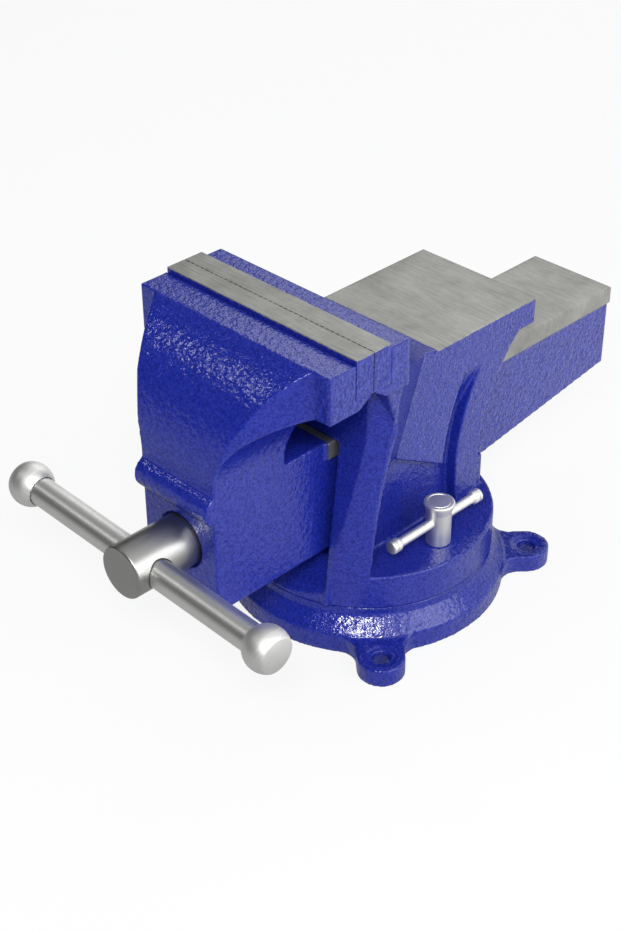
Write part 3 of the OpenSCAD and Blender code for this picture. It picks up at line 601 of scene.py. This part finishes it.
def main_screw():
    material = turned_steel("screw_steel", 1, (0, 0, SCREW_Z), 0.32, 0.66)
    core_r = SCREW_R - 2.3
    thread_start = PIN_Y + 6
    head_round = 1.4
    tip = 1.5
    shaft = lathe("head_draft", [
        (0, HEAD_FRONT), *arc(HEAD_R - head_round, HEAD_FRONT + head_round, head_round, 270, 360),
        (HEAD_R, HEAD_SEAT - 0.6), (HEAD_R - 0.6, HEAD_SEAT),
        (JOURNAL_R, HEAD_SEAT), (JOURNAL_R, CAVITY_FRONT - 0.5),
        (SCREW_R, CAVITY_FRONT + 0.5), (SCREW_R, thread_start),
        (core_r, thread_start + 2.3), (core_r, SCREW_REAR - tip), (core_r - tip, SCREW_REAR), (0, SCREW_REAR),
    ], 96)
    place(shaft, along_y(0, SCREW_Z))
    bore = rod("bore", BAR_HOLE_R, 60, 64)
    place(bore, HANDLE_AXIS @ turn(90, "Y"))
    pin_bore = rod("pin_bore", PIN_R + PIN_SLIP, 30, 32)
    place(pin_bore, shift(0, PIN_Y, SCREW_Z))
    shaft = cut(shaft, [bore, pin_bore])

    start = PIN_Y + 9
    length = SCREW_REAR - 3 - start
    ridge = 1.35
    thread = grown("thread", coil_tree(), {
        "Turns": length / SCREW_PITCH, "Steps": 28, "Coil Radius": (SCREW_R - ridge) * MM,
        "Length": length * MM, "Wire Radius": ridge * MM, "Wire Sides": 6, "Material": material,
    })
    place(thread, along_y(start, SCREW_Z))
    turned_piece(shaft, "screw_shaft", material, "main_screw", "spindle", 30)
    turned_piece(thread, "screw_thread", material, "main_screw", "spindle", 35)


def return_spring():
    material = plain_steel("spring_steel", (0.06, 0.06, 0.065, 1), (0.12, 0.12, 0.125, 1), 0.3)
    wire = 1.75
    room = 3
    obj = grown("coil_spring", coil_tree(), {
        "Turns": 4.0, "Steps": 40, "Coil Radius": (SCREW_R + room + wire) * MM,
        "Length": (SPRING_LEN - 2 * wire) * MM, "Wire Radius": wire * MM, "Wire Sides": 14,
        "Material": material,
    })
    place(obj, along_y(CAVITY_FRONT + 0.2 + wire, SCREW_Z))
    smooth(obj, 50)
    stands_for(obj, "return_spring", "spindle")


main_screw()
return_spring()


# Handle: bar and two turned balls

def ball_profile():
    """Half outline of a ball with a blind bore for the bar and a flat end."""
    bore = BAR_R + 0.06
    deep = BAR_END - BALL_X + 0.1
    mouth = BAR_R + 0.6
    mouth_z = -math.sqrt(BALL_R ** 2 - mouth ** 2)
    flat_r = math.sqrt(BALL_R ** 2 - BALL_FLAT ** 2)
    start = math.degrees(math.atan2(mouth_z, mouth))
    stop = math.degrees(math.asin((BALL_FLAT - 0.5) / BALL_R))
    globe = arc(0, 0, BALL_R, start, stop, 20)
    return [
        (0, deep), (bore, deep), (bore, mouth_z + 1.4), *globe, (flat_r - 0.6, BALL_FLAT), (0, BALL_FLAT),
    ]


def handle():
    centre = (0, HANDLE_Y, SCREW_Z - BAR_DROP)
    along = HANDLE_AXIS @ shift(0, 0, -BAR_DROP) @ turn(90, "Y")
    chamfer = 0.5
    bar = lathe("bar", [
        (0, -BAR_END), (BAR_R - chamfer, -BAR_END), (BAR_R, -BAR_END + chamfer),
        (BAR_R, BAR_END - chamfer), (BAR_R - chamfer, BAR_END), (0, BAR_END),
    ], 64)
    place(bar, along)
    bar_steel = turned_steel("handle_steel", 0, centre, 0.38, 1.3)
    turned_piece(bar, "handle_rod", bar_steel, "handle_bar", "handle")
    ball_steel = turned_steel("ball_steel", 0, centre, 0.48, 1.3)
    for word, flip in (("right", 0), ("left", 180)):
        ball = lathe("ball_" + word, ball_profile(), 64)
        place(ball, along @ turn(flip, "X") @ shift(0, 0, BALL_X))
        turned_piece(ball, "ball_" + word, ball_steel, "handle_ball_" + word, "handle")


handle()


# Swivel locks: capped bolts and their sliding bars

def lock_bolt(side, word):
    under = LOCK_TOP - LOCK_CAP_H
    bolt = lathe("bolt", [
        (0, LOCK_END), (LOCK_SHANK_R - 0.8, LOCK_END), (LOCK_SHANK_R, LOCK_END + 0.8),
        (LOCK_SHANK_R, LOCK_FOOT), (LOCK_HEAD_R - 0.5, LOCK_FOOT), (LOCK_HEAD_R, LOCK_FOOT + 0.5),
        (LOCK_HEAD_R, under), (LOCK_HEAD_R + 0.1, under + 0.4),
        (LOCK_CAP_R - 0.1, LOCK_TOP - 2.0), (LOCK_CAP_R, LOCK_TOP - 1.6),
        *arc(LOCK_CAP_R - 1.0, LOCK_TOP - 1.0, 1.0, 0, 90),
        (7.4, LOCK_TOP), (7.1, LOCK_TOP - 0.35), (6.8, LOCK_TOP), (0, LOCK_TOP),
    ], 64)
    hole = rod("hole", LOCK_BAR_R + PIN_SLIP, 30, 32)
    place(hole, along_y(0, LOCK_BAR_Z))
    bolt = cut(bolt, [hole])
    place(bolt, shift(side * LOCK_X, 0, 0))
    # The tone of 1.35 paints the lock bolt's steel lighter, as painted light against the shade it stands in.
    steel = turned_steel("lock_bolt_steel_" + word, 2, (side * LOCK_X, 0, 0), 0.42, 1.35)
    turned_piece(bolt, "lock_screw_" + word, steel, "lock_bolt_" + word, "lock_" + word)


def lock_bar(side, word):
    groove_r = LOCK_KNOB_R - 0.5
    half = [
        (LOCK_BAR_R, LOCK_KNOB_START), (LOCK_KNOB_R, LOCK_KNOB_START + 2), (LOCK_KNOB_R, LOCK_BAR_END - 3.4),
        (groove_r, LOCK_BAR_END - 3.1), (groove_r, LOCK_BAR_END - 2.6), (LOCK_KNOB_R, LOCK_BAR_END - 2.3),
        *arc(LOCK_KNOB_R - 1.0, LOCK_BAR_END - 1.0, 1.0, 0, 90), (0, LOCK_BAR_END),
    ]
    bar = lathe("rod", [(r, -z) for r, z in reversed(half)] + half, 40)
    place(bar, shift(side * LOCK_X, 0, 0) @ along_y(LOCK_BAR_Y[side], LOCK_BAR_Z))
    # The tone of 1.35 paints the lock bar's steel lighter, as painted light against the shade it stands in.
    steel = turned_steel("lock_bar_steel_" + word, 1, (side * LOCK_X, 0, LOCK_BAR_Z), 0.42, 1.35)
    turned_piece(bar, "lock_rod_" + word, steel, "lock_bar_" + word, "bar_" + word)


for side, word in ((1, "right"), (-1, "left")):
    lock_bolt(side, word)
    lock_bar(side, word)


# Small pieces that keep their solids

def finish_nodes(names, material):
    for name in names:
        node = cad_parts[name]
        node.data.materials.clear()
        node.data.materials.append(material)


finish_nodes(
    ["fixed_plate_screws", "moving_plate_screws", "nut_bolts", "split_pin",
     "pivot_bolt", "pivot_washer", "pivot_nut"],
    plain_steel("black_steel", (0.045, 0.045, 0.048, 1), (0.10, 0.10, 0.105, 1), 0.34),
)
finish_nodes(
    ["spring_washer"], plain_steel("washer_steel", (0.34, 0.34, 0.33, 1), (0.5, 0.5, 0.49, 1), 0.3)
)
finish_nodes(["screw_nut", "lock_shoe_right", "lock_shoe_left"], raw_iron("nut_iron"))


# Studio: pale floor, soft room, lamps and the camera of the photograph

FLOOR_HALF = 6.0
FLOOR_TONE = (0.82, 0.82, 0.82, 1)
GLOW_SHARE = 0.86
ROOM_TINT = (0.95, 0.97, 1.0, 1)
ROOM_LEVEL = 0.42
BRIGHT_SIDE = (0.74, 0.62, 0.26)
WHITE = (1, 1, 1, 1)
LAMP_AIM = Vector((0, 0, 0.1))


def emptied(owner):
    """Short ways to add nodes to the cleared tree of a material or world."""
    owner.use_nodes = True
    owner.node_tree.nodes.clear()
    return Nodes(owner.node_tree)


def mixed_surface(n, output, share, first, second):
    """Ends a tree with two shaders mixed; share is that of the second."""
    mix = n.node("ShaderNodeMixShader", {0: share, 1: first.outputs[0], 2: second.outputs[0]})
    n.node(output, {"Surface": mix.outputs[0]})


def floor_stage():
    """White to the camera, shaded by the object, and brighter towards the rear in reflections."""
    mesh = bpy.data.meshes.new("floor")
    corners = [(x * FLOOR_HALF, y * FLOOR_HALF, 0) for x, y in ((-1, -1), (1, -1), (1, 1), (-1, 1))]
    mesh.from_pydata(corners, [], [(0, 1, 2, 3)])
    floor = as_object("floor", mesh)
    material = bpy.data.materials.new("pale_floor")
    n = emptied(material)
    ray = n.node("ShaderNodeLightPath").outputs
    spot = n.split(n.node("ShaderNodeTexCoord").outputs["Object"])
    mirrored = n.ramp(spot["Y"], -0.16, 0.26, 0.40, 1.15)
    matt = n.node("ShaderNodeBsdfDiffuse", {"Color": FLOOR_TONE})
    glow = n.node("ShaderNodeEmission", {
        "Color": WHITE, "Strength": n.mix(ray["Is Camera Ray"], mirrored, 1.0),
    })
    seen = n.math("MAXIMUM", ray["Is Camera Ray"], ray["Is Glossy Ray"])
    mixed_surface(n, "ShaderNodeOutputMaterial", n.math("MULTIPLY", seen, GLOW_SHARE), matt, glow)
    floor.data.materials.append(material)


def room_light():
    """A soft even light, white to the camera, that reflections see as brighter on one side."""
    world = bpy.data.worlds.new("studio")
    scene.world = world
    n = emptied(world)
    ray = n.node("ShaderNodeLightPath").outputs
    towards = n.node("ShaderNodeVectorMath", {
        0: n.node("ShaderNodeTexCoord").outputs["Generated"], 1: BRIGHT_SIDE,
    }, operation="DOT_PRODUCT").outputs["Value"]
    fade = n.ramp(towards, -0.35, 0.5, 0.04, 0.9)
    soft = n.node("ShaderNodeBackground", {"Color": ROOM_TINT, "Strength": ROOM_LEVEL})
    white = n.node("ShaderNodeBackground", {
        "Color": WHITE, "Strength": n.math("MAXIMUM", ray["Is Camera Ray"], fade),
    })
    seen = n.math("MAXIMUM", ray["Is Camera Ray"], ray["Is Glossy Ray"])
    mixed_surface(n, "ShaderNodeOutputWorld", seen, soft, white)


def lamp(name, at, width, height, power):
    data = bpy.data.lights.new(name, "AREA")
    data.shape = "RECTANGLE"
    data.size = width
    data.size_y = height
    data.energy = power
    obj = as_object(name, data)
    obj.location = at
    obj.rotation_euler = (LAMP_AIM - Vector(at)).to_track_quat("-Z", "Y").to_euler()


def photo_camera():
    data = bpy.data.cameras.new("camera")
    data.lens = 67.65
    data.sensor_width = 36.0
    place_at = (0.61525, -0.65560, 0.68419)
    right = Vector((0.704946, 0.709241, -0.005384))
    up = Vector((-0.393506, 0.397416, 0.828983))
    axes = Matrix((right, up, right.cross(up))).transposed().to_4x4()
    camera = as_object("camera", data)
    camera.matrix_world = Matrix.Translation(place_at) @ axes
    scene.camera = camera


floor_stage()
room_light()
lamp("right_softbox", (1.5, 0.25, 0.85), 1.2, 1.2, 14.0)
lamp("rear_softbox", (-0.7, 1.3, 1.3), 1.4, 0.9, 6.0)
lamp("front_lamp", (0.84, -0.94, 1.20), 0.56, 0.20, 17.0)
lamp("left_top_lamp", (-0.75, -0.72, 1.05), 0.16, 0.16, 0.9)
photo_camera()
